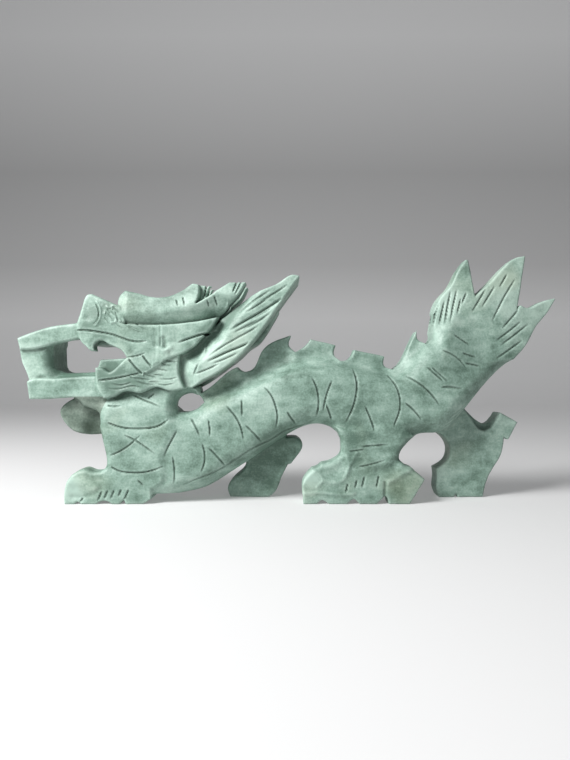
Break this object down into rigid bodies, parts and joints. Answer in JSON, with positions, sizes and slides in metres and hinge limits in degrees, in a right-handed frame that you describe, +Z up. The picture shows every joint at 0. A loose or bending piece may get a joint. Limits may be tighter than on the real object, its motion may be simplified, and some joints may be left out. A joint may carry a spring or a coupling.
{
  "type": "carved stone dragon figurine",
  "caption": "Striding dragon carved from a slab of green stone, with a whisker loop, swept mane, dorsal fins and flame tail.",
  "frame": {"origin": "on the surface it stands on, under the middle of the bounding box", "axes": "+X towards the tail (the dragon faces -X), +Y from the near side to the far side through the slab, +Z up"},
  "size_m": [0.32, 0.036, 0.147],
  "materials": {
    "jade": "waxy satin polish"
  },
  "bodies": {
    "root": {"beard": "jade", "cheek_tuft_far": "jade", "cheek_tuft_near": "jade", "chest": "jade", "dorsal_fin_1": "jade", "dorsal_fin_2": "jade", "dorsal_fin_3": "jade", "dorsal_fin_4": "jade", "dorsal_fin_5": "jade", "front_leg_far": "jade", "front_leg_near": "jade", "hind_leg_far": "jade", "hind_leg_near": "jade", "horn_far": "jade", "horn_near": "jade", "lower_jaw": "jade", "lower_whisker": "jade", "mane": "jade", "nose_crest": "jade", "rump": "jade", "skull": "jade", "tail_plume_front": "jade", "tail_plume_middle": "jade", "tail_plume_rear": "jade", "trunk": "jade", "upper_whisker": "jade", "whisker_web": "jade"}
  },
  "joints": []
}
